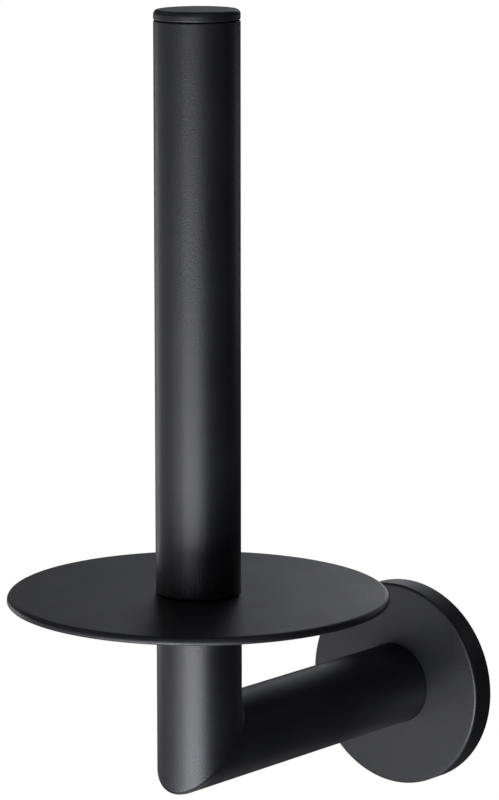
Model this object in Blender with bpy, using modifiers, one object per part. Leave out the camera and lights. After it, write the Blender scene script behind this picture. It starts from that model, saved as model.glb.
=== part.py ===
"""Spare toilet roll holder for a wall: a mitred tube stand on a round rosette, with a roll plate and a post.

The wall is the plane Y = 0 and +Y runs into it, +Z is up, and the arm's axis is the line X = Z = 0.
The rosette hides a wall plate, and a grub screw under the rosette clamps the two together.
"""

import math

import bmesh
import bpy
from mathutils import Matrix, Vector

MM = 0.001

# Layout: distances between the main axes and faces
POST_REACH = 91.0 * MM  # wall to the post's axis
PLATE_LEVEL = 41.5 * MM  # arm's axis to the top of the roll plate
POST_TOP = 193.5 * MM  # arm's axis to the top of the end cap

# Tube of the post and of the arm
TUBE_DIAMETER = 22.3 * MM
TUBE_WALL = 1.5 * MM
TUBE_FOOT_RADIUS = 0.7 * MM  # rounding of the upper post where it stands on the plate
TUBE_TOP_CHAMFER = 0.2 * MM

# Roll plate
PLATE_DIAMETER = 100.0 * MM
PLATE_THICKNESS = 2.0 * MM
PLATE_EDGE_RADIUS = 0.9 * MM
PLATE_SEAT_DEPTH = 0.4 * MM  # the shallow seat that centres the upper post

# End cap and its sealing ring
CAP_HEAD = 2.6 * MM
CAP_EDGE_RADIUS = 1.2 * MM
CAP_LIP_RADIUS = 0.5 * MM  # rounding of the head's lower edge, above the shadow line
CAP_SPIGOT_LENGTH = 8.0 * MM
CAP_SPIGOT_PLAY = 0.3 * MM  # radial, taken up by the ring
CAP_BORE = 10.0 * MM
CAP_BORE_DEPTH = 6.0 * MM
RING_SECTION = 1.5 * MM
RING_DROP = 4.0 * MM  # underside of the cap's head to the middle of the ring
RING_SIDE_PLAY = 0.3 * MM

# Threaded plugs in the tube ends, and the stud that joins them through the plate
PLUG_LENGTH = 12.0 * MM
PLUG_CHAMFER = 0.8 * MM
STUD_DIAMETER = 8.0 * MM
STUD_GRIP = 10.0 * MM  # how far the stud reaches past each face of the plate
STUD_CHAMFER = 0.8 * MM

# Rosette
ROSETTE_DIAMETER = 57.0 * MM
ROSETTE_DEPTH = 7.0 * MM
ROSETTE_FACE = 1.5 * MM  # thickness of its front
ROSETTE_RIM_WALL = 5.5 * MM
ROSETTE_EDGE_RADIUS = 1.0 * MM
ROSETTE_BACK_CHAMFER = 0.3 * MM
ROSETTE_MOUTH_CHAMFER = 0.5 * MM

# Wall plate inside the rosette
WALL_PLATE_HEADROOM = 0.5 * MM  # between its front and the rosette's
WALL_PLATE_PLAY = 0.3 * MM  # radial, to the rosette's rim
WALL_PLATE_CHAMFER = 0.5 * MM
WALL_PLATE_FLAT = 0.4 * MM  # depth of the flat that the grub screw presses on
SLOT_WIDTH = 5.2 * MM
SLOT_LENGTH = 9.2 * MM
SLOT_SPACING = 26.0 * MM
SLOT_POCKET_MARGIN = 2.0 * MM  # how far the screw head's pocket stands off the slot
SLOT_FLOOR = 2.4 * MM  # what the pocket leaves for the head to bear on

# Grub screw
GRUB_DIAMETER = 4.0 * MM
GRUB_LENGTH = 5.0 * MM
GRUB_SETBACK = 2.9 * MM  # wall to the screw's axis
GRUB_TIP_CHAMFER = 0.5 * MM
GRUB_HEAD_CHAMFER = 0.3 * MM
SOCKET_ACROSS_FLATS = 2.0 * MM
SOCKET_DEPTH = 2.2 * MM

# Clearances between pieces that touch on the real holder
SEAT_GAP = 0.3 * MM
RADIAL_GAP = 0.3 * MM
WELD_GAP = 0.3 * MM
CUT_OVERRUN = 2.0 * MM

# Fineness of the turned surfaces
FINE_STEPS = 96
TUBE_STEPS = 64
PLUG_STEPS = 40
SCREW_STEPS = 24
RING_SIDES = 12
ARC_STEPS = 4
MERGE_DISTANCE = 0.001 * MM
SHARP_ANGLE = math.radians(30)

# Sizes that follow from those above
TUBE_RADIUS = TUBE_DIAMETER / 2
TUBE_BORE_RADIUS = TUBE_RADIUS - TUBE_WALL
PLUG_RADIUS = TUBE_BORE_RADIUS - RADIAL_GAP
STUD_HOLE_RADIUS = STUD_DIAMETER / 2 + RADIAL_GAP
PLATE_UNDERSIDE = PLATE_LEVEL - PLATE_THICKNESS
UPPER_POST_FOOT = PLATE_LEVEL - PLATE_SEAT_DEPTH + SEAT_GAP
UPPER_POST_HEAD = POST_TOP - CAP_HEAD - SEAT_GAP
LOWER_POST_HEAD = PLATE_UNDERSIDE - SEAT_GAP
ROSETTE_RADIUS = ROSETTE_DIAMETER / 2
ROSETTE_MOUTH_RADIUS = ROSETTE_RADIUS - ROSETTE_RIM_WALL
ROSETTE_FLOOR = ROSETTE_DEPTH - ROSETTE_FACE
WALL_PLATE_THICKNESS = ROSETTE_FLOOR - WALL_PLATE_HEADROOM
WALL_PLATE_RADIUS = ROSETTE_MOUTH_RADIUS - WALL_PLATE_PLAY
GRUB_TIP_REACH = WALL_PLATE_RADIUS - WALL_PLATE_FLAT + SEAT_GAP

# What is turned about Z and laid along the arm has its top away from the wall
ALONG_ARM = (math.pi / 2, 0, 0)
MITRE_ANGLE = math.pi / 4

# Finishes: name, colour, roughness and metallic value
COATING = ("black_coating", (0.030, 0.031, 0.034), 0.45, 0.0)
STEEL = ("stainless_steel", (0.56, 0.56, 0.55), 0.35, 1.0)
SCREW_STEEL = ("dark_screw_steel", (0.10, 0.10, 0.11), 0.40, 1.0)
RUBBER = ("rubber", (0.02, 0.02, 0.02), 0.8, 0.0)


def clear_scene():
    for obj in list(bpy.data.objects):
        bpy.data.objects.remove(obj)


def new_collection(name):
    collection = bpy.data.collections.new(name)
    bpy.context.scene.collection.children.link(collection)
    return collection


def material(part_name, finish, colour, roughness, metallic):
    """The material of one sub-part, in its finish."""
    made = bpy.data.materials.new(f"{part_name}_{finish}")
    made.use_nodes = True
    made.diffuse_color = (*colour, 1)
    shader = made.node_tree.nodes["Principled BSDF"]
    shader.inputs["Base Color"].default_value = (*colour, 1)
    shader.inputs["Roughness"].default_value = roughness
    shader.inputs["Metallic"].default_value = metallic
    return made


def arc(before, corner, after, radius):
    """Points along the arc of that radius that rounds off corner, on the way from before to after."""
    back = (before - corner).normalized()
    ahead = (after - corner).normalized()
    half_angle = back.angle(ahead) / 2
    centre = corner + (back + ahead).normalized() * (radius / math.sin(half_angle))
    start = corner + back * (radius / math.tan(half_angle)) - centre
    end = corner + ahead * (radius / math.tan(half_angle)) - centre
    sweep = -start.angle_signed(end)
    return [centre + Matrix.Rotation(sweep * i / ARC_STEPS, 2) @ start for i in range(ARC_STEPS + 1)]


def rounded(corners):
    """The outline through corners: a radius, a height and, where an arc rounds the corner off, its radius."""
    places = [Vector(corner[:2]) for corner in corners]
    outline = []
    for i, corner in enumerate(corners):
        if len(corner) == 3:
            after = places[(i + 1) % len(places)]
            outline.extend(arc(places[i - 1], places[i], after, corner[2]))
        else:
            outline.append(places[i])
    return outline


def turned(name, corners, steps, finish):
    """A solid turned about Z, from corners that run down its outer side.

    The outline is closed, but for the stretch along the axis of a solid that reaches it.
    """
    outline = rounded(corners)
    edges = [(i, i + 1) for i in range(len(outline) - 1)]
    if outline[0].x or outline[-1].x:
        edges.append((len(outline) - 1, 0))
    mesh = bpy.data.meshes.new(name)
    mesh.from_pydata([(r, 0, z) for r, z in outline], edges, [])
    mesh.materials.append(material(name, *finish))
    obj = bpy.data.objects.new(name, mesh)
    parts.objects.link(obj)
    screw = obj.modifiers.new("turn", "SCREW")
    screw.steps = screw.render_steps = steps
    screw.use_merge_vertices = True
    screw.merge_threshold = MERGE_DISTANCE
    return obj


def cutter(name, shape):
    """A helper object, seen only as a wire, from a bmesh that it uses up."""
    mesh = bpy.data.meshes.new(name)
    shape.to_mesh(mesh)
    shape.free()
    obj = bpy.data.objects.new(name, mesh)
    obj.hide_render = True
    obj.display_type = "WIRE"
    cutters.objects.link(obj)
    return obj


def block(name, size, centre):
    """A box-shaped cutter."""
    shape = bmesh.new()
    placing = Matrix.Translation(centre) @ Matrix.Diagonal((*size, 1))
    bmesh.ops.create_cube(shape, size=1, matrix=placing)
    return cutter(name, shape)


def rod(name, radius, low, high, steps, stretch=0):
    """A round cutter along Z, whose section stretch pulls apart along Y into a slot with round ends."""
    shape = bmesh.new()
    turn = Matrix.Rotation(math.pi / steps, 4, "Z")
    placing = Matrix.Translation((0, 0, (low + high) / 2)) @ turn
    bmesh.ops.create_cone(
        shape,
        cap_ends=True,
        segments=steps,
        radius1=radius,
        radius2=radius,
        depth=high - low,
        matrix=placing,
    )
    for vertex in shape.verts:
        vertex.co.y += math.copysign(stretch / 2, vertex.co.y)
    return cutter(name, shape)


def cut(obj, tool):
    """Cuts out of obj a cutter that is placed in its frame."""
    tool.parent = obj
    boolean = obj.modifiers.new(tool.name, "BOOLEAN")
    boolean.operation = "DIFFERENCE"
    boolean.object = tool


def place(obj, location, rotation=(0, 0, 0), parent=None):
    obj.location = location
    obj.rotation_euler = rotation
    obj.parent = parent
    return obj


def empty(name, location, parent=None):
    made = bpy.data.objects.new(name, None)
    parts.objects.link(made)
    return place(made, location, parent=parent)


def cut_screw_slot(plate, label, offset):
    """An upright slot through the wall plate, with a wider pocket in front for the screw's head."""
    front = WALL_PLATE_THICKNESS + CUT_OVERRUN
    stretch = SLOT_LENGTH - SLOT_WIDTH
    radius = SLOT_WIDTH / 2
    slot = rod(f"{label}_slot", radius, -CUT_OVERRUN, front, SCREW_STEPS, stretch)
    pocket_radius = radius + SLOT_POCKET_MARGIN
    pocket = rod(f"{label}_pocket", pocket_radius, SLOT_FLOOR, front, SCREW_STEPS, stretch)
    for tool in (slot, pocket):
        tool.location.x = offset
        cut(plate, tool)


def make_wall_plate():
    """The disc that is screwed to the wall, with a flat below that the grub screw presses on."""
    thickness = WALL_PLATE_THICKNESS
    radius = WALL_PLATE_RADIUS
    plate = turned(
        "wall_plate",
        [
            (0, thickness),
            (radius - WALL_PLATE_CHAMFER, thickness),
            (radius, thickness - WALL_PLATE_CHAMFER),
            (radius, 0),
            (0, 0),
        ],
        FINE_STEPS,
        STEEL,
    )
    cut_screw_slot(plate, "left", -SLOT_SPACING / 2)
    cut_screw_slot(plate, "right", SLOT_SPACING / 2)
    height = WALL_PLATE_FLAT + CUT_OVERRUN
    size = (radius, height, thickness + 2 * CUT_OVERRUN)
    centre = (0, -(radius - WALL_PLATE_FLAT + height / 2), thickness / 2)
    cut(plate, block("grub_flat", size, centre))
    return place(plate, (0, 0, 0), ALONG_ARM)


def make_rosette(parent):
    """The cup that covers the wall plate, with the arm's hole in front and the grub screw's hole below."""
    hole_radius = TUBE_RADIUS + RADIAL_GAP
    rosette = turned(
        "rosette",
        [
            (ROSETTE_RADIUS, ROSETTE_DEPTH, ROSETTE_EDGE_RADIUS),
            (ROSETTE_RADIUS, ROSETTE_BACK_CHAMFER),
            (ROSETTE_RADIUS - ROSETTE_BACK_CHAMFER, 0),
            (ROSETTE_MOUTH_RADIUS + ROSETTE_MOUTH_CHAMFER, 0),
            (ROSETTE_MOUTH_RADIUS, ROSETTE_MOUTH_CHAMFER),
            (ROSETTE_MOUTH_RADIUS, ROSETTE_FLOOR),
            (hole_radius, ROSETTE_FLOOR),
            (hole_radius, ROSETTE_DEPTH),
        ],
        FINE_STEPS,
        COATING,
    )
    low = ROSETTE_MOUTH_RADIUS - CUT_OVERRUN
    high = ROSETTE_RADIUS + CUT_OVERRUN
    hole = rod("grub_hole", GRUB_DIAMETER / 2 + RADIAL_GAP, low, high, SCREW_STEPS)
    hole.location.z = GRUB_SETBACK
    hole.rotation_euler = ALONG_ARM
    cut(rosette, hole)
    return place(rosette, (0, 0, 0), ALONG_ARM, parent)


def make_grub_screw(parent):
    """The flat-point socket screw, with its tip up against the wall plate and its socket below."""
    radius = GRUB_DIAMETER / 2
    screw = turned(
        "grub_screw",
        [
            (0, GRUB_LENGTH),
            (radius - GRUB_TIP_CHAMFER, GRUB_LENGTH),
            (radius, GRUB_LENGTH - GRUB_TIP_CHAMFER),
            (radius, GRUB_HEAD_CHAMFER),
            (radius - GRUB_HEAD_CHAMFER, 0),
            (0, 0),
        ],
        SCREW_STEPS,
        SCREW_STEEL,
    )
    corner_radius = SOCKET_ACROSS_FLATS / 2 / math.cos(math.pi / 6)
    cut(screw, rod("hex_socket", corner_radius, -CUT_OVERRUN, SOCKET_DEPTH, 6))
    return place(screw, (0, 0, 0), parent=parent)


def mitre_cutter(name, lean, side):
    """A block that leans by an eighth of a turn, and ends half the weld's gap past its own centre plane."""
    size = 2 * TUBE_DIAMETER
    tool = block(name, (size, size, size), (0, 0, side * (size - WELD_GAP) / 2))
    tool.rotation_euler = (lean, 0, 0)
    return tool


def make_lower_post(parent):
    """The upright half of the elbow, cut at 45 degrees where the arm is welded on."""
    post = turned(
        "lower_post",
        [
            (TUBE_RADIUS, LOWER_POST_HEAD),
            (TUBE_RADIUS, -TUBE_RADIUS),
            (TUBE_BORE_RADIUS, -TUBE_RADIUS),
            (TUBE_BORE_RADIUS, LOWER_POST_HEAD),
        ],
        TUBE_STEPS,
        COATING,
    )
    cut(post, mitre_cutter("post_mitre", MITRE_ANGLE, -1))
    return place(post, (0, -POST_REACH, 0), parent=parent)


def make_arm_tube(parent):
    """The level half of the elbow, from the mitre to the inside of the rosette's front."""
    elbow_end = POST_REACH + TUBE_RADIUS
    arm = turned(
        "arm_tube",
        [
            (TUBE_RADIUS, elbow_end),
            (TUBE_RADIUS, ROSETTE_FLOOR),
            (TUBE_BORE_RADIUS, ROSETTE_FLOOR),
            (TUBE_BORE_RADIUS, elbow_end),
        ],
        TUBE_STEPS,
        COATING,
    )
    tool = mitre_cutter("arm_mitre", -MITRE_ANGLE, 1)
    tool.location.z = POST_REACH
    cut(arm, tool)
    return place(arm, (0, 0, 0), ALONG_ARM, parent)


def make_plug(name, foot, parent):
    """A threaded plug inside a tube end, standing at the height foot."""
    plug = turned(
        name,
        [
            (PLUG_RADIUS - PLUG_CHAMFER, PLUG_LENGTH),
            (PLUG_RADIUS, PLUG_LENGTH - PLUG_CHAMFER),
            (PLUG_RADIUS, PLUG_CHAMFER),
            (PLUG_RADIUS - PLUG_CHAMFER, 0),
            (STUD_HOLE_RADIUS, 0),
            (STUD_HOLE_RADIUS, PLUG_LENGTH),
        ],
        PLUG_STEPS,
        STEEL,
    )
    return place(plug, (0, -POST_REACH, foot), parent=parent)


def make_joining_stud(parent):
    """The threaded stud that pulls the two halves of the post together on the plate."""
    radius = STUD_DIAMETER / 2
    length = PLATE_THICKNESS + 2 * STUD_GRIP
    stud = turned(
        "joining_stud",
        [
            (0, length),
            (radius - STUD_CHAMFER, length),
            (radius, length - STUD_CHAMFER),
            (radius, STUD_CHAMFER),
            (radius - STUD_CHAMFER, 0),
            (0, 0),
        ],
        SCREW_STEPS,
        STEEL,
    )
    return place(stud, (0, -POST_REACH, PLATE_UNDERSIDE - STUD_GRIP), parent=parent)


def make_roll_plate(parent):
    """The round plate that the spare roll stands on, with a seat for the upper post and the stud's hole."""
    radius = PLATE_DIAMETER / 2
    seat_radius = TUBE_RADIUS + RADIAL_GAP
    seat_floor = PLATE_THICKNESS - PLATE_SEAT_DEPTH
    plate = turned(
        "roll_plate",
        [
            (radius, PLATE_THICKNESS, PLATE_EDGE_RADIUS),
            (radius, 0, PLATE_EDGE_RADIUS),
            (STUD_HOLE_RADIUS, 0),
            (STUD_HOLE_RADIUS, seat_floor),
            (seat_radius, seat_floor),
            (seat_radius, PLATE_THICKNESS),
        ],
        FINE_STEPS,
        COATING,
    )
    return place(plate, (0, -POST_REACH, PLATE_UNDERSIDE), parent=parent)


def make_upper_post(parent):
    """The tube that the roll drops over, rounded at its foot."""
    length = UPPER_POST_HEAD - UPPER_POST_FOOT
    post = turned(
        "upper_post",
        [
            (TUBE_RADIUS - TUBE_TOP_CHAMFER, length),
            (TUBE_RADIUS, length - TUBE_TOP_CHAMFER),
            (TUBE_RADIUS, 0, TUBE_FOOT_RADIUS),
            (TUBE_BORE_RADIUS, 0),
            (TUBE_BORE_RADIUS, length),
        ],
        TUBE_STEPS,
        COATING,
    )
    return place(post, (0, -POST_REACH, UPPER_POST_FOOT), parent=parent)


def make_end_cap(parent):
    """The push-in cap: a rounded head, and a bored spigot with the groove of its sealing ring."""
    spigot_radius = TUBE_BORE_RADIUS - CAP_SPIGOT_PLAY
    groove_radius = TUBE_BORE_RADIUS - 2 * RADIAL_GAP - RING_SECTION
    groove_half = RING_SECTION / 2 + RING_SIDE_PLAY
    bore_end = CAP_BORE_DEPTH - CAP_SPIGOT_LENGTH
    cap = turned(
        "end_cap",
        [
            (0, CAP_HEAD),
            (TUBE_RADIUS, CAP_HEAD, CAP_EDGE_RADIUS),
            (TUBE_RADIUS, 0, CAP_LIP_RADIUS),
            (spigot_radius, 0),
            (spigot_radius, groove_half - RING_DROP),
            (groove_radius, groove_half - RING_DROP),
            (groove_radius, -groove_half - RING_DROP),
            (spigot_radius, -groove_half - RING_DROP),
            (spigot_radius, -CAP_SPIGOT_LENGTH),
            (CAP_BORE / 2, -CAP_SPIGOT_LENGTH),
            (CAP_BORE / 2, bore_end),
            (0, bore_end),
        ],
        TUBE_STEPS,
        COATING,
    )
    return place(cap, (0, -POST_REACH, POST_TOP - CAP_HEAD), parent=parent)


def make_cap_ring(parent):
    """The rubber ring that grips the inside of the post."""
    section_radius = RING_SECTION / 2
    centre_radius = TUBE_BORE_RADIUS - RADIAL_GAP - section_radius
    outline = []
    for i in range(RING_SIDES):
        angle = math.tau * i / RING_SIDES
        radius = centre_radius + section_radius * math.sin(angle)
        outline.append((radius, section_radius * math.cos(angle)))
    ring = turned("cap_ring", outline, PLUG_STEPS, RUBBER)
    return place(ring, (0, -POST_REACH, POST_TOP - CAP_HEAD - RING_DROP), parent=parent)


def settle(obj):
    """Keeps the result of an object's modifiers as its mesh, shaded smooth except at its sharp edges."""
    graph = bpy.context.evaluated_depsgraph_get()
    mesh = bpy.data.meshes.new_from_object(obj.evaluated_get(graph))
    obj.modifiers.clear()
    obj.data = mesh
    mesh.shade_smooth()
    mesh.set_sharp_from_angle(angle=SHARP_ANGLE)


clear_scene()
parts = new_collection("spare_roll_holder")
cutters = new_collection("cutters")

# The empties stand where the pieces that slide have their origins
holder = empty("holder", (0, 0, 0))
grub_axis = empty("grub_axis", (0, -GRUB_SETBACK, -GRUB_TIP_REACH - GRUB_LENGTH), holder)

make_wall_plate()
make_rosette(holder)
make_grub_screw(grub_axis)
make_arm_tube(holder)
make_lower_post(holder)
make_plug("lower_plug", LOWER_POST_HEAD - PLUG_LENGTH, holder)
make_joining_stud(holder)
make_roll_plate(holder)
make_plug("upper_plug", UPPER_POST_FOOT, holder)
make_upper_post(holder)
make_end_cap(holder)
make_cap_ring(holder)

bpy.context.view_layer.update()
for part in list(parts.objects):
    if part.type == "MESH":
        settle(part)
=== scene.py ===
"""The looks of the spare toilet roll holder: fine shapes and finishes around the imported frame.

Lengths are metres in the frame's axes: the wall is the plane Y = 0, the holder stands out from it
along -Y, and +Z is up. Turned shapes are made about Z and then placed.
"""

import math

import bmesh
import bpy
from mathutils import Matrix, Vector


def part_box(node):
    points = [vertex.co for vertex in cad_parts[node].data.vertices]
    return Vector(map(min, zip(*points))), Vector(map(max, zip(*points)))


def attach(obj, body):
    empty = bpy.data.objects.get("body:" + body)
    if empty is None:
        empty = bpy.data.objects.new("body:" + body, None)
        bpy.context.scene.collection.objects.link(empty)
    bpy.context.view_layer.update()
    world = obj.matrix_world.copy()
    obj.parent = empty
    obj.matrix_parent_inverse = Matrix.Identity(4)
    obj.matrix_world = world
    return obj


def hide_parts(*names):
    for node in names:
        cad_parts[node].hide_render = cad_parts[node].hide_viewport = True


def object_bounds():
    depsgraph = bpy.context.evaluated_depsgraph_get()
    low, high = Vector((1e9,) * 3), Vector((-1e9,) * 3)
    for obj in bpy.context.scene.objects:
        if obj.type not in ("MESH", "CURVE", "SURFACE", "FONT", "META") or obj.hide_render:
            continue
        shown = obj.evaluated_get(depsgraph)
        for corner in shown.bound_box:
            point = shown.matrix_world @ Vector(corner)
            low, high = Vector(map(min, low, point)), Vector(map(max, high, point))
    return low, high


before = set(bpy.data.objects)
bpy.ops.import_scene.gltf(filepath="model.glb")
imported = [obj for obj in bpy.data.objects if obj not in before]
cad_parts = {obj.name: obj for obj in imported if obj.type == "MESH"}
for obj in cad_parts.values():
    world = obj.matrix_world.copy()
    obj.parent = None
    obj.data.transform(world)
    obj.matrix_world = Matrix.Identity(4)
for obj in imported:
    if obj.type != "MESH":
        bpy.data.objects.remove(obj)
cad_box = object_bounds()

MM = 0.001

# Camera: the photograph is 499 by 800 pixels, and its focal length and centre are in those pixels
PHOTO_WIDTH = 499
PHOTO_HEIGHT = 800
SENSOR = 36  # millimetres, as the lens is
VIEW_AZIMUTH = math.radians(39.942)
VIEW_ELEVATION = math.radians(10.412)
VIEW_ROLL = math.radians(-0.057)
VIEW_DISTANCE = 973.79 * MM
VIEW_TARGET_SIDE = 12.09 * MM  # towards +X from the post's axis
VIEW_TARGET_HEIGHT = 93.57 * MM  # above the arm's axis
FOCAL_PIXELS = 3794.4
CENTRE_PIXEL_X = 233.76
CENTRE_PIXEL_Y = 401.25

# Studio lamps: a name, the turn to the right of the camera and the elevation in degrees, the distance
# from the object's middle, the box's width and height, and its radiance
LAMPS = [
    ("low_front_box", -13, -30, 0.8, 0.60, 0.28, 11.4),
    ("low_right_box", 0, -30, 0.8, 0.40, 0.28, 2.4),
    ("low_left_box", -45, -30, 0.8, 0.40, 0.28, 4.9),
    ("front_box", -17, -15, 0.8, 0.56, 0.36, 2.25),
    ("front_left_box", -32, -12, 0.8, 0.22, 0.30, 2.4),
    ("left_box", -60, -12, 0.8, 0.25, 0.30, 1.65),
    ("left_low_box", -62, -36, 0.8, 0.25, 0.25, 2.75),
    ("side_low_box", -80, -30, 0.8, 0.40, 0.28, 1.0),
    ("side_box", -98, -10, 0.8, 0.60, 0.50, 0.6),
    ("side_back_box", -135, -8, 0.8, 0.25, 0.30, 2.1),
    ("back_high_box", 200, 12, 0.8, 0.20, 0.20, 0.6),
    ("back_box", 170, 0, 0.8, 0.20, 0.20, 1.2),
    ("back_right_box", 130, 3, 0.4, 0.10, 0.10, 0.9),
    ("top_back_box", 150, 60, 0.8, 0.60, 0.40, 0.25),
    ("top_front_box", 5, 50, 0.8, 0.80, 0.50, 0.5),
    ("top_left_box", -110, 50, 0.8, 0.80, 0.50, 0.22),
]

# Studio backdrop, as reflections show it: full within the core's angle and gone past the edge's
BACKDROP_COLOUR = (0.90, 0.92, 1.0)  # a cool white
BACKDROP_TURN = math.radians(166)
BACKDROP_ELEVATION = math.radians(18)
BACKDROP_CORE = math.radians(5)
BACKDROP_EDGE = math.radians(20)
ROOM_STRENGTH = 0.03

# Floor
FLOOR_DROP = 0.9
FLOOR_RADIUS = 0.6
FLOOR_GLOW = 0.98

# Tubes
TUBE_WALL = 1.5 * MM
TUBE_TOP_RADIUS = 0.3 * MM
TUBE_FOOT_RADIUS = 0.8 * MM

# Elbow: it stands a hair off the line of the upper post
ELBOW_SIDE = 0.25 * MM
ELBOW_RISE = 0.25 * MM
MITRE_RADIUS = 1.3 * MM  # the ground and coated weld of the two tubes
ARM_PLAY = 0.15 * MM  # the hairline round the arm in the rosette's hole

# Roll plate: a shallow seat in its top takes the upper post's foot
PLATE_TOP_RADIUS = 1.35 * MM
PLATE_FOOT_RADIUS = 0.45 * MM
STUD_HOLE_RADIUS = 4.3 * MM
SEAT_DEPTH = 0.4 * MM
SEAT_PLAY = 0.08 * MM

# End cap: pushed in a touch askew, lower on the left of the photograph
CAP_GAP = 0.25 * MM
CAP_TOP_RADIUS = 1.2 * MM
CAP_LIP_RADIUS = 0.4 * MM
CAP_DROP = 0.07 * MM
CAP_LEAN = math.radians(0.25)
CAP_SPIGOT_PLAY = 0.3 * MM
CAP_BORE_RADIUS = 5 * MM
CAP_BORE_DEPTH = 6 * MM
RING_GROOVE_DEPTH = 1.8 * MM
RING_GROOVE_HALF = 1.05 * MM
RING_DROP = 4 * MM

# Rosette
ROSETTE_FRONT = 1.5 * MM
ROSETTE_RIM_WALL = 5.5 * MM
ROSETTE_EDGE_RADIUS = 0.7 * MM
ROSETTE_BACK_RADIUS = 0.3 * MM
ROSETTE_MOUTH_RADIUS = 0.4 * MM
GRUB_HOLE_RADIUS = 2.3 * MM

# Wall plate: a pocket round each slot takes the screw's head
WALL_PLATE_CHAMFER = 0.5 * MM
WALL_PLATE_FLAT = 0.4 * MM
SLOT_WIDTH = 5.2 * MM
SLOT_LENGTH = 9.2 * MM
SLOT_SPACING = 26 * MM
SLOT_POCKET_MARGIN = 2 * MM
SLOT_FLOOR = 2.4 * MM

# Threads and the grub screw's socket
GRUB_PITCH = 0.7 * MM
STUD_PITCH = 1.25 * MM
THREAD_DEPTH_SHARE = 0.54  # of the pitch
THREAD_FLAT_SHARE = 1 / 6  # of the pitch, at the crest and again at the root
GRUB_END_CHAMFER = 0.4 * MM
STUD_END_CHAMFER = 0.8 * MM
SOCKET_ACROSS_FLATS = 2 * MM
SOCKET_DEPTH = 2.2 * MM

# Noises mostly stay between the low and the high value
NOISE_LOW = 0.3
NOISE_HIGH = 0.7
NOISE_ROUGHNESS = 0.55

# Powder coat: its colours and its roughness each go from a first value to a last one
COAT_COLOURS = ((0.0048, 0.0050, 0.0064), (0.0066, 0.0069, 0.0088))
COAT_ROUGHNESS = (0.395, 0.435)
COAT_SHEEN = (0.90, 0.91, 1.0)  # slightly cool
COAT_CLOUD_SIZE = 14 * MM
COAT_PEEL_SIZE = 1.6 * MM
COAT_PEEL_HEIGHT = 0.012 * MM
COAT_PEEL_STRENGTH = 0.5
COAT_GRAIN_SIZE = 0.45 * MM
COAT_GRAIN_HEIGHT = 0.035 * MM
COAT_GRAIN_STRENGTH = 1

# Turned stainless steel
STEEL_COLOURS = ((0.56, 0.555, 0.54), (0.66, 0.655, 0.635))
STEEL_ROUGHNESS = (0.38, 0.54)
STEEL_CLOUD_SIZE = 6 * MM
STEEL_RING_WIDTH = 0.22 * MM
STEEL_RING_HEIGHT = 0.012 * MM
STEEL_RING_STRENGTH = 0.7

# Blackened screw steel
OXIDE_COLOURS = ((0.07, 0.07, 0.078), (0.15, 0.145, 0.14))
OXIDE_ROUGHNESS = (0.32, 0.50)
OXIDE_MOTTLE_SIZE = 0.5 * MM
OXIDE_MOTTLE_HEIGHT = 0.006 * MM
OXIDE_MOTTLE_STRENGTH = 0.5

# Ring rubber
RUBBER_COLOURS = ((0.014, 0.014, 0.014), (0.030, 0.029, 0.028))
RUBBER_ROUGHNESS = (0.68, 0.85)
RUBBER_BLOOM_SIZE = 1.2 * MM
RUBBER_BLOOM_HEIGHT = 0.01 * MM
RUBBER_BLOOM_STRENGTH = 0.4

# Floor paint
PAINT_COLOURS = ((0.78, 0.78, 0.78), (0.82, 0.82, 0.82))
PAINT_ROUGHNESS = (0.65, 0.8)
PAINT_MOTTLE_SIZE = 90 * MM

# Fineness
ROUND_STEPS = 256
TUBE_STEPS = 192
SMALL_STEPS = 64
THREAD_STEPS = 48
THREAD_ROWS_PER_TURN = 12
ARC_STEPS = 8
HOLD = 0.04 * MM  # from an arc's end to the loop that keeps the face beside it flat
OVERRUN = 2 * MM  # how far a cutter reaches past what it cuts
SHARP_ANGLE = math.radians(30)

ALONG_ARM = (math.pi / 2, 0, 0)  # what is turned about Z has its top away from the wall


def toward(azimuth, elevation):
    """The direction from the object to a point. Azimuth 0 is in front of the wall."""
    return Vector(
        (
            math.sin(azimuth) * math.cos(elevation),
            -math.cos(azimuth) * math.cos(elevation),
            math.sin(elevation),
        )
    )


def node(tree, kind, inputs, **settings):
    """A shader node. An input is a value or the socket that feeds it."""
    made = tree.nodes.new(kind)
    for name, value in settings.items():
        setattr(made, name, value)
    for name, value in inputs.items():
        if isinstance(value, bpy.types.NodeSocket):
            tree.links.new(value, made.inputs[name])
        else:
            made.inputs[name].default_value = value
    return made


def new_material(name):
    """A material, its node tree and its shader."""
    made = bpy.data.materials.new(name)
    made.use_nodes = True
    tree = made.node_tree
    return made, tree, tree.nodes["Principled BSDF"]


def own_place(tree):
    """Where a point of the surface is in its piece's own axes."""
    return node(tree, "ShaderNodeTexCoord", {}).outputs["Object"]


def noise(tree, place, size, detail=2):
    """Noise between 0 and 1 whose features are about size across."""
    inputs = {"Vector": place, "Scale": 1 / size, "Detail": detail, "Roughness": NOISE_ROUGHNESS}
    return node(tree, "ShaderNodeTexNoise", inputs).outputs["Fac"]


def spread(tree, value, low, high, start=NOISE_LOW, end=NOISE_HIGH):
    """Maps value from start..end to low..high."""
    inputs = {"Value": value, "From Min": start, "From Max": end, "To Min": low, "To Max": high}
    return node(tree, "ShaderNodeMapRange", inputs).outputs["Result"]


def blend_colours(tree, value, low, high):
    """A colour that goes from low to high as value goes through a noise's range."""
    made = node(tree, "ShaderNodeValToRGB", {"Fac": value})
    first, last = made.color_ramp.elements
    first.position = NOISE_LOW
    last.position = NOISE_HIGH
    first.color = (*low, 1)
    last.color = (*high, 1)
    return made.outputs["Color"]


def bumped(tree, heights):
    """A normal from heights, each a noise, how high it stands and its strength."""
    normal = None
    for height, distance, strength in heights:
        inputs = {"Height": height, "Distance": distance, "Strength": strength}
        if normal:
            inputs["Normal"] = normal
        normal = node(tree, "ShaderNodeBump", inputs).outputs["Normal"]
    return normal


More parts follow.
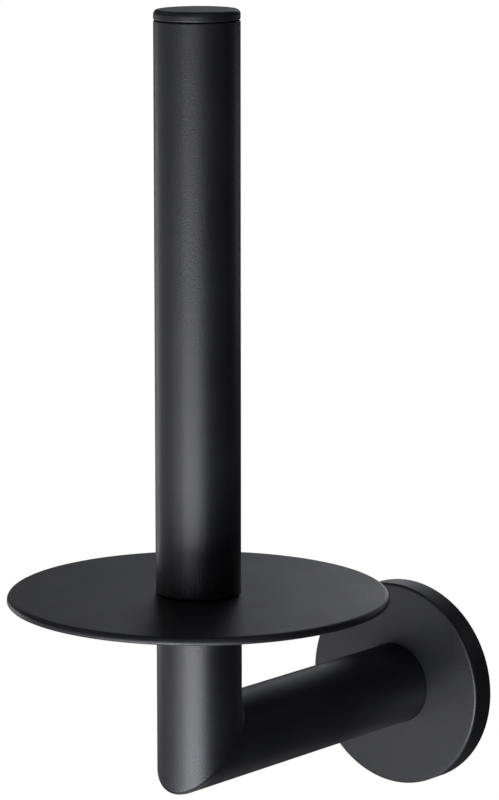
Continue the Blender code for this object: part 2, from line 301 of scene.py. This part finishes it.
def shade(tree, shader, colour, roughness, heights):
    """Feeds a shader its colour, its roughness and a bump from heights."""
    tree.links.new(colour, shader.inputs["Base Color"])
    tree.links.new(roughness, shader.inputs["Roughness"])
    tree.links.new(bumped(tree, heights), shader.inputs["Normal"])


def powder_coat():
    """Matt black powder coat: a fine grain on a faint orange peel, with cloudy gloss."""
    made, tree, shader = new_material("matt_black_powder_coat")
    place = own_place(tree)
    cloud = noise(tree, place, COAT_CLOUD_SIZE, detail=3)
    peel = noise(tree, place, COAT_PEEL_SIZE, detail=1)
    grain = noise(tree, place, COAT_GRAIN_SIZE)
    colour = blend_colours(tree, cloud, *COAT_COLOURS)
    roughness = spread(tree, cloud, *COAT_ROUGHNESS)
    heights = [
        (peel, COAT_PEEL_HEIGHT, COAT_PEEL_STRENGTH),
        (grain, COAT_GRAIN_HEIGHT, COAT_GRAIN_STRENGTH),
    ]
    shade(tree, shader, colour, roughness, heights)
    shader.inputs["Specular Tint"].default_value = (*COAT_SHEEN, 1)
    return made


def turned_steel():
    """Stainless steel faced on a lathe: fine rings about the piece's own Z axis."""
    made, tree, shader = new_material("turned_stainless_steel")
    place = own_place(tree)
    flat = node(tree, "ShaderNodeVectorMath", {0: place, 1: (1, 1, 0)}, operation="MULTIPLY").outputs[0]
    radius = node(tree, "ShaderNodeVectorMath", {0: flat}, operation="LENGTH").outputs["Value"]
    inputs = {"W": radius, "Scale": 1 / STEEL_RING_WIDTH, "Detail": 3}
    rings = node(tree, "ShaderNodeTexNoise", inputs, noise_dimensions="1D").outputs["Fac"]
    cloud = noise(tree, place, STEEL_CLOUD_SIZE, detail=3)
    colour = blend_colours(tree, cloud, *STEEL_COLOURS)
    roughness = spread(tree, rings, *STEEL_ROUGHNESS)
    shade(tree, shader, colour, roughness, [(rings, STEEL_RING_HEIGHT, STEEL_RING_STRENGTH)])
    shader.inputs["Metallic"].default_value = 1
    return made


def blackened_steel():
    """Blackened screw steel, with a mottled oxide skin."""
    made, tree, shader = new_material("blackened_screw_steel")
    mottle = noise(tree, own_place(tree), OXIDE_MOTTLE_SIZE, detail=4)
    colour = blend_colours(tree, mottle, *OXIDE_COLOURS)
    roughness = spread(tree, mottle, *OXIDE_ROUGHNESS)
    shade(tree, shader, colour, roughness, [(mottle, OXIDE_MOTTLE_HEIGHT, OXIDE_MOTTLE_STRENGTH)])
    shader.inputs["Metallic"].default_value = 1
    return made


def ring_rubber():
    """Matt black rubber with a fine moulded grain and a dusty bloom."""
    made, tree, shader = new_material("ring_rubber")
    bloom = noise(tree, own_place(tree), RUBBER_BLOOM_SIZE, detail=3)
    colour = blend_colours(tree, bloom, *RUBBER_COLOURS)
    roughness = spread(tree, bloom, *RUBBER_ROUGHNESS)
    shade(tree, shader, colour, roughness, [(bloom, RUBBER_BLOOM_HEIGHT, RUBBER_BLOOM_STRENGTH)])
    return made


def arc(before, corner, after, radius):
    """Points along the arc that rounds off corner, with a hold point on each side of it."""
    back = (before - corner).normalized()
    ahead = (after - corner).normalized()
    half_angle = back.angle(ahead) / 2
    reach = radius / math.tan(half_angle)
    centre = corner + (back + ahead).normalized() * (radius / math.sin(half_angle))
    start = corner + back * reach - centre
    end = corner + ahead * reach - centre
    sweep = -start.angle_signed(end)
    points = [centre + Matrix.Rotation(sweep * i / ARC_STEPS, 2) @ start for i in range(ARC_STEPS + 1)]
    return [corner + back * (reach + HOLD), *points, corner + ahead * (reach + HOLD)]


def rounded(corners):
    """The outline through corners: a radius, a height and, where an arc rounds one off, its radius."""
    places = [Vector(corner[:2]) for corner in corners]
    outline = []
    for i, corner in enumerate(corners):
        if len(corner) == 3:
            outline.extend(arc(places[i - 1], places[i], places[(i + 1) % len(places)], corner[2]))
        else:
            outline.append(places[i])
    return outline


def to_object(shape, name):
    """An object from a bmesh, which it uses up."""
    mesh = bpy.data.meshes.new(name)
    shape.to_mesh(mesh)
    shape.free()
    obj = bpy.data.objects.new(name, mesh)
    bpy.context.scene.collection.objects.link(obj)
    return obj


def ring(shape, radius, steps, path):
    """A ring of points round Z. path gives the Y and Z of each from its Y in a level ring."""
    angles = [math.tau * i / steps for i in range(steps)]
    return [shape.verts.new((radius * math.cos(a), *path(radius * math.sin(a)))) for a in angles]


def bridge(shape, first, second):
    """The faces between two rings, which are triangles where a ring is one point."""
    for i in range(len(first)):
        corners = (first[i - 1], first[i], second[i], second[i - 1])
        shape.faces.new(tuple(dict.fromkeys(corners)))


def turned(name, corners, steps):
    """A solid turned about Z. Its corners run down its outer side and, if it has one, up its bore."""
    outline = rounded(corners)
    shape = bmesh.new()
    rings = []
    for radius, height in outline:
        if radius:
            rings.append(ring(shape, radius, steps, lambda y: (y, height)))
        else:
            rings.append([shape.verts.new((0, 0, height))] * steps)
    if outline[0].x:
        rings.append(rings[0])
    for first, second in zip(rings, rings[1:]):
        bridge(shape, first, second)
    bmesh.ops.recalc_face_normals(shape, faces=shape.faces[:])
    return to_object(shape, name)


def rod(radius, low, high, steps, stretch=0):
    """A round bar along Z, as a bmesh, pulled apart along Y by stretch into a slot's shape."""
    shape = bmesh.new()
    # Half a step leaves no corner at Y = 0, where the bar is pulled apart
    half_step = Matrix.Rotation(math.pi / steps, 4, "Z")
    placing = Matrix.Translation((0, 0, (low + high) / 2)) @ half_step
    bmesh.ops.create_cone(
        shape,
        cap_ends=True,
        segments=steps,
        radius1=radius,
        radius2=radius,
        depth=high - low,
        matrix=placing,
    )
    for vertex in shape.verts:
        vertex.co.y += math.copysign(stretch / 2, vertex.co.y)
    return shape


def block(size, centre):
    """A box, as a bmesh."""
    shape = bmesh.new()
    placing = Matrix.Translation(centre) @ Matrix.Diagonal((*size, 1))
    bmesh.ops.create_cube(shape, size=1, matrix=placing)
    return shape


def carve(obj, shapes):
    """Cuts bmesh shapes, given in obj's own axes, out of it, and uses them up."""
    tools = [to_object(shape, "tool") for shape in shapes]
    for tool in tools:
        cut = obj.modifiers.new("cut", "BOOLEAN")
        cut.operation = "DIFFERENCE"
        cut.object = tool
    bpy.context.view_layer.update()
    graph = bpy.context.evaluated_depsgraph_get()
    mesh = bpy.data.meshes.new_from_object(obj.evaluated_get(graph))
    obj.modifiers.clear()
    obj.data = mesh
    for tool in tools:
        bpy.data.objects.remove(tool)


def finish_piece(obj, finish, body, nodes, location=(0, 0, 0), rotation=(0, 0, 0)):
    """Places a piece, shades it smooth, hands it to its body and hides the nodes that it stands for."""
    obj.location = location
    obj.rotation_euler = rotation
    obj.data.materials.clear()
    obj.data.materials.append(finish)
    obj.data.shade_smooth()
    obj.data.set_sharp_from_angle(angle=SHARP_ANGLE)
    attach(obj, body)
    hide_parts(*nodes)


def make_upper_post():
    """The tube that the roll drops over, with softened ends."""
    low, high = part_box("upper_post")
    length = high.z - low.z
    bore = tube_radius - TUBE_WALL
    post = turned(
        "upper_post_tube",
        [
            (tube_radius, length, TUBE_TOP_RADIUS),
            (tube_radius, 0, TUBE_FOOT_RADIUS),
            (bore, 0),
            (bore, length),
        ],
        TUBE_STEPS,
    )
    finish_piece(post, coat, "holder", ["upper_post"], (0, post_y, low.z))


def elbow_skin(shape, radius, head, end):
    """The rings of one skin of the elbow, from the post's head round the mitre to the arm's end."""
    bend = MITRE_RADIUS + HOLD
    offsets = [(0, bend)]
    for i in range(ARC_STEPS + 1):
        turn = math.pi / 2 * i / ARC_STEPS
        offsets.append((MITRE_RADIUS * (1 - math.cos(turn)), MITRE_RADIUS * (1 - math.sin(turn))))
    offsets.append((bend, 0))
    rings = [ring(shape, radius, TUBE_STEPS, lambda y: (post_y + y, head))]
    for across, up in offsets:
        rings.append(ring(shape, radius, TUBE_STEPS, lambda y: (post_y + y + across, y + up)))
    rings.append(ring(shape, radius, TUBE_STEPS, lambda y: (end, y)))
    return rings


def make_elbow():
    """The welded elbow in one coat: the lower post, the rounded mitre and the arm."""
    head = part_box("lower_post")[1].z - ELBOW_RISE
    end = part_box("arm_tube")[1].y
    bore = tube_radius - TUBE_WALL
    shape = bmesh.new()
    outer = elbow_skin(shape, tube_radius, head, end)
    inner = elbow_skin(shape, bore, head, end)
    for skin in (outer, inner):
        for first, second in zip(skin, skin[1:]):
            bridge(shape, first, second)
    bridge(shape, outer[0], inner[0])
    bridge(shape, outer[-1], inner[-1])
    bmesh.ops.recalc_face_normals(shape, faces=shape.faces[:])
    elbow = to_object(shape, "elbow_tube")
    place = (ELBOW_SIDE, 0, ELBOW_RISE)
    finish_piece(elbow, coat, "holder", ["lower_post", "arm_tube"], place)


def make_roll_plate():
    """The round plate that the roll stands on, with a softly rounded edge."""
    low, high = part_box("roll_plate")
    radius = (high.x - low.x) / 2
    thickness = high.z - low.z
    hole = STUD_HOLE_RADIUS
    plate = turned(
        "roll_plate_disc",
        [
            (radius, thickness, PLATE_TOP_RADIUS),
            (radius, 0, PLATE_FOOT_RADIUS),
            (hole, 0),
            (hole, thickness - SEAT_DEPTH),
            (tube_radius + SEAT_PLAY, thickness - SEAT_DEPTH),
            (tube_radius + SEAT_PLAY, thickness),
        ],
        ROUND_STEPS,
    )
    finish_piece(plate, coat, "holder", ["roll_plate"], (0, post_y, low.z))


def make_end_cap():
    """The push-in cap: a rounded head over the shadow line, and a bored spigot with a groove."""
    low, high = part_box("end_cap")
    head_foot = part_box("upper_post")[1].z + CAP_GAP
    head_height = high.z - head_foot
    spigot = tube_radius - TUBE_WALL - CAP_SPIGOT_PLAY
    spigot_end = low.z - head_foot
    groove = spigot - RING_GROOVE_DEPTH
    cap = turned(
        "end_cap_turned",
        [
            (0, head_height),
            (tube_radius, head_height, CAP_TOP_RADIUS),
            (tube_radius, 0, CAP_LIP_RADIUS),
            (spigot, 0),
            (spigot, RING_GROOVE_HALF - RING_DROP),
            (groove, RING_GROOVE_HALF - RING_DROP),
            (groove, -RING_GROOVE_HALF - RING_DROP),
            (spigot, -RING_GROOVE_HALF - RING_DROP),
            (spigot, spigot_end),
            (CAP_BORE_RADIUS, spigot_end),
            (CAP_BORE_RADIUS, spigot_end + CAP_BORE_DEPTH),
            (0, spigot_end + CAP_BORE_DEPTH),
        ],
        TUBE_STEPS,
    )
    lean = Matrix.Rotation(CAP_LEAN, 3, toward(VIEW_AZIMUTH, 0)).to_euler()
    place = (0, post_y, head_foot - CAP_DROP)
    finish_piece(cap, coat, "holder", ["end_cap"], place, lean)


def make_rosette():
    """The cup against the wall, with the grub screw's hole in its underside."""
    low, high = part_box("rosette")
    radius = (high.x - low.x) / 2
    depth = high.y - low.y
    mouth = radius - ROSETTE_RIM_WALL
    floor = depth - ROSETTE_FRONT
    rosette = turned(
        "rosette_cup",
        [
            (0, depth),
            (radius, depth, ROSETTE_EDGE_RADIUS),
            (radius, 0, ROSETTE_BACK_RADIUS),
            (mouth, 0, ROSETTE_MOUTH_RADIUS),
            (mouth, floor),
            (0, floor),
        ],
        ROUND_STEPS,
    )
    screw_low, screw_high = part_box("grub_screw")
    screw_depth = -(screw_low.y + screw_high.y) / 2
    screw_hole = rod(GRUB_HOLE_RADIUS, mouth - OVERRUN, radius + OVERRUN, SMALL_STEPS)
    bmesh.ops.rotate(screw_hole, matrix=Matrix.Rotation(math.pi / 2, 3, "X"), verts=screw_hole.verts[:])
    bmesh.ops.translate(screw_hole, vec=(0, 0, screw_depth), verts=screw_hole.verts[:])
    arm_hole = rod(tube_radius + ARM_PLAY, floor - OVERRUN, depth + OVERRUN, TUBE_STEPS)
    bmesh.ops.translate(arm_hole, vec=(ELBOW_SIDE, ELBOW_RISE, 0), verts=arm_hole.verts[:])
    carve(rosette, [screw_hole, arm_hole])
    finish_piece(rosette, coat, "holder", ["rosette"], rotation=ALONG_ARM)


def make_wall_plate():
    """The turned disc on the wall, with two upright slots and the flat that the grub screw meets."""
    low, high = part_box("wall_plate")
    radius = (high.x - low.x) / 2
    thickness = high.y - low.y
    plate = turned(
        "wall_plate_disc",
        [
            (0, thickness),
            (radius - WALL_PLATE_CHAMFER, thickness),
            (radius, thickness - WALL_PLATE_CHAMFER),
            (radius, 0),
            (0, 0),
        ],
        ROUND_STEPS,
    )
    tools = []
    stretch = SLOT_LENGTH - SLOT_WIDTH
    for side in (-1, 1):
        slot = rod(SLOT_WIDTH / 2, -OVERRUN, thickness + OVERRUN, SMALL_STEPS, stretch)
        pocket_radius = SLOT_WIDTH / 2 + SLOT_POCKET_MARGIN
        pocket = rod(pocket_radius, SLOT_FLOOR, thickness + OVERRUN, SMALL_STEPS, stretch)
        for shape in (slot, pocket):
            bmesh.ops.translate(shape, vec=(side * SLOT_SPACING / 2, 0, 0), verts=shape.verts[:])
            tools.append(shape)
    height = WALL_PLATE_FLAT + OVERRUN
    size = (radius, height, thickness + 2 * OVERRUN)
    tools.append(block(size, (0, -(radius - WALL_PLATE_FLAT + height / 2), thickness / 2)))
    carve(plate, tools)
    finish_piece(plate, steel, "wall_bracket", ["wall_plate"], rotation=ALONG_ARM)


def threaded(name, radius, pitch, length, chamfer):
    """A rod along Z from 0 to length, with a helical thread that runs out in a chamfer at each end."""
    rows = round(length / pitch * THREAD_ROWS_PER_TURN)
    depth = pitch * THREAD_DEPTH_SHARE
    shape = bmesh.new()
    rings = []
    for j in range(rows + 1):
        z = length * j / rows
        points = []
        for i in range(THREAD_STEPS):
            angle = math.tau * i / THREAD_STEPS
            phase = (z / pitch - angle / math.tau) % 1
            fall = (abs(2 * phase - 1) - THREAD_FLAT_SHARE) / (1 - 2 * THREAD_FLAT_SHARE)
            flank = radius - depth * min(1, max(0, fall))
            run_out = radius - chamfer + min(z, length - z)
            reach = min(flank, run_out)
            points.append(shape.verts.new((reach * math.cos(angle), reach * math.sin(angle), z)))
        rings.append(points)
    for first, second in zip(rings, rings[1:]):
        bridge(shape, first, second)
    shape.faces.new(rings[0])
    shape.faces.new(rings[-1])
    bmesh.ops.recalc_face_normals(shape, faces=shape.faces[:])
    return to_object(shape, name)


def make_grub_screw():
    """The M4 flat-point screw, its hexagon socket below."""
    low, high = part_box("grub_screw")
    radius = (high.x - low.x) / 2
    screw = threaded("grub_screw_threaded", radius, GRUB_PITCH, high.z - low.z, GRUB_END_CHAMFER)
    socket_corner = SOCKET_ACROSS_FLATS / 2 / math.cos(math.pi / 6)
    carve(screw, [rod(socket_corner, -OVERRUN, SOCKET_DEPTH, steps=6)])
    place = (0, (low.y + high.y) / 2, low.z)
    finish_piece(screw, screw_steel, "grub_screw", ["grub_screw"], place)


def make_joining_stud():
    """The M8 stud inside the post."""
    low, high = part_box("joining_stud")
    radius = (high.x - low.x) / 2
    stud = threaded("joining_stud_threaded", radius, STUD_PITCH, high.z - low.z, STUD_END_CHAMFER)
    finish_piece(stud, steel, "holder", ["joining_stud"], (0, post_y, low.z))


def dress_inner_nodes():
    """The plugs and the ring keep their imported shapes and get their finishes."""
    for name, finish in (("lower_plug", steel), ("upper_plug", steel), ("cap_ring", rubber)):
        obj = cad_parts[name]
        obj.data.materials.clear()
        obj.data.materials.append(finish)


def make_camera():
    """The photograph's view."""
    back = toward(VIEW_AZIMUTH, VIEW_ELEVATION)
    right = Vector((math.cos(VIEW_AZIMUTH), math.sin(VIEW_AZIMUTH), 0))
    up = back.cross(right)
    right_rolled = right * math.cos(VIEW_ROLL) + up * math.sin(VIEW_ROLL)
    up_rolled = back.cross(right_rolled)
    data = bpy.data.cameras.new("photo_camera")
    data.sensor_width = SENSOR
    data.lens = FOCAL_PIXELS / PHOTO_HEIGHT * SENSOR
    data.shift_x = (PHOTO_WIDTH / 2 - CENTRE_PIXEL_X) / PHOTO_HEIGHT
    data.shift_y = (CENTRE_PIXEL_Y - PHOTO_HEIGHT / 2) / PHOTO_HEIGHT
    camera = bpy.data.objects.new("photo_camera", data)
    target = Vector((VIEW_TARGET_SIDE, post_y, VIEW_TARGET_HEIGHT))
    turn = Matrix((right_rolled, up_rolled, back)).transposed()
    camera.matrix_world = Matrix.Translation(target + back * VIEW_DISTANCE) @ turn.to_4x4()
    bpy.context.scene.collection.objects.link(camera)
    bpy.context.scene.camera = camera


def make_lamp(name, turn, elevation, distance, width, height, radiance):
    """A soft box that faces the object's middle. Its power is its radiance times pi and its area."""
    data = bpy.data.lights.new(name, "AREA")
    data.shape = "RECTANGLE"
    data.size = width
    data.size_y = height
    data.energy = radiance * math.pi * width * height
    lamp = bpy.data.objects.new(name, data)
    direction = toward(VIEW_AZIMUTH + math.radians(turn), math.radians(elevation))
    lamp.location = middle + direction * distance
    lamp.rotation_mode = "QUATERNION"
    lamp.rotation_quaternion = direction.to_track_quat("Z", "Y")
    lamp.visible_camera = False
    bpy.context.scene.collection.objects.link(lamp)


def background_rays(tree):
    """Two sockets: 1 for the camera's rays, and 1 for mirrored rays and those through glass."""
    path = node(tree, "ShaderNodeLightPath", {})
    mirrored = node(
        tree,
        "ShaderNodeMath",
        {0: path.outputs["Is Glossy Ray"], 1: path.outputs["Is Transmission Ray"]},
        operation="MAXIMUM",
    )
    return path.outputs["Is Camera Ray"], mirrored.outputs[0]


def make_world():
    """White to the camera. Reflections show the white backdrop behind the object in a dark studio."""
    world = bpy.data.worlds.new("studio")
    bpy.context.scene.world = world
    world.use_nodes = True
    tree = world.node_tree
    camera, mirrored = background_rays(tree)
    direction = node(tree, "ShaderNodeTexCoord", {}).outputs["Generated"]
    behind = toward(VIEW_AZIMUTH + BACKDROP_TURN, BACKDROP_ELEVATION)
    facing = node(tree, "ShaderNodeVectorMath", {0: direction, 1: behind}, operation="DOT_PRODUCT")
    edge = math.cos(BACKDROP_EDGE)
    core = math.cos(BACKDROP_CORE)
    backdrop = spread(tree, facing.outputs["Value"], 0, 1, start=edge, end=core)
    reflected = node(tree, "ShaderNodeMath", {0: mirrored, 1: backdrop}, operation="MULTIPLY")
    seen = node(tree, "ShaderNodeMath", {0: camera, 1: reflected.outputs[0]}, operation="MAXIMUM")
    background = tree.nodes["Background"]
    colour = blend_colours(tree, camera, BACKDROP_COLOUR, (1, 1, 1))
    strength = spread(tree, seen.outputs[0], ROOM_STRENGTH, 1, start=0, end=1)
    tree.links.new(colour, background.inputs["Color"])
    tree.links.new(strength, background.inputs["Strength"])


def floor_paint():
    """Pale matt paint that reads as white and keeps a shadow. From below it is clear."""
    made, tree, shader = new_material("pale_floor_paint")
    mottle = noise(tree, own_place(tree), PAINT_MOTTLE_SIZE, detail=3)
    tree.links.new(blend_colours(tree, mottle, *PAINT_COLOURS), shader.inputs["Base Color"])
    tree.links.new(spread(tree, mottle, *PAINT_ROUGHNESS), shader.inputs["Roughness"])
    camera, mirrored = background_rays(tree)
    seen = node(tree, "ShaderNodeMath", {0: camera, 1: mirrored}, operation="MAXIMUM")
    glow = spread(tree, seen.outputs[0], 0, FLOOR_GLOW, start=0, end=1)
    shader.inputs["Emission Color"].default_value = (1, 1, 1, 1)
    tree.links.new(glow, shader.inputs["Emission Strength"])
    clear = node(tree, "ShaderNodeBsdfTransparent", {})
    underside = node(tree, "ShaderNodeNewGeometry", {}).outputs["Backfacing"]
    both = node(tree, "ShaderNodeMixShader", {0: underside, 1: shader.outputs[0], 2: clear.outputs[0]})
    tree.links.new(both.outputs[0], tree.nodes["Material Output"].inputs["Surface"])
    return made


def make_floor():
    """The room's floor, well below the holder."""
    shape = bmesh.new()
    bmesh.ops.create_circle(shape, cap_ends=True, segments=ROUND_STEPS, radius=FLOOR_RADIUS)
    floor = to_object(shape, "floor")
    floor.location.z = -FLOOR_DROP
    floor.data.materials.append(floor_paint())


post_low, post_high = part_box("upper_post")
post_y = (post_low.y + post_high.y) / 2
tube_radius = (post_high.x - post_low.x) / 2
middle = (cad_box[0] + cad_box[1]) / 2

coat = powder_coat()
steel = turned_steel()
screw_steel = blackened_steel()
rubber = ring_rubber()

make_camera()
make_world()
make_upper_post()
make_elbow()
make_roll_plate()
make_end_cap()
make_rosette()
make_wall_plate()
make_grub_screw()
make_joining_stud()
dress_inner_nodes()

make_floor()
for lamp in LAMPS:
    make_lamp(*lamp)

bpy.context.scene.view_settings.view_transform = "Standard"
bpy.context.view_layer.update()
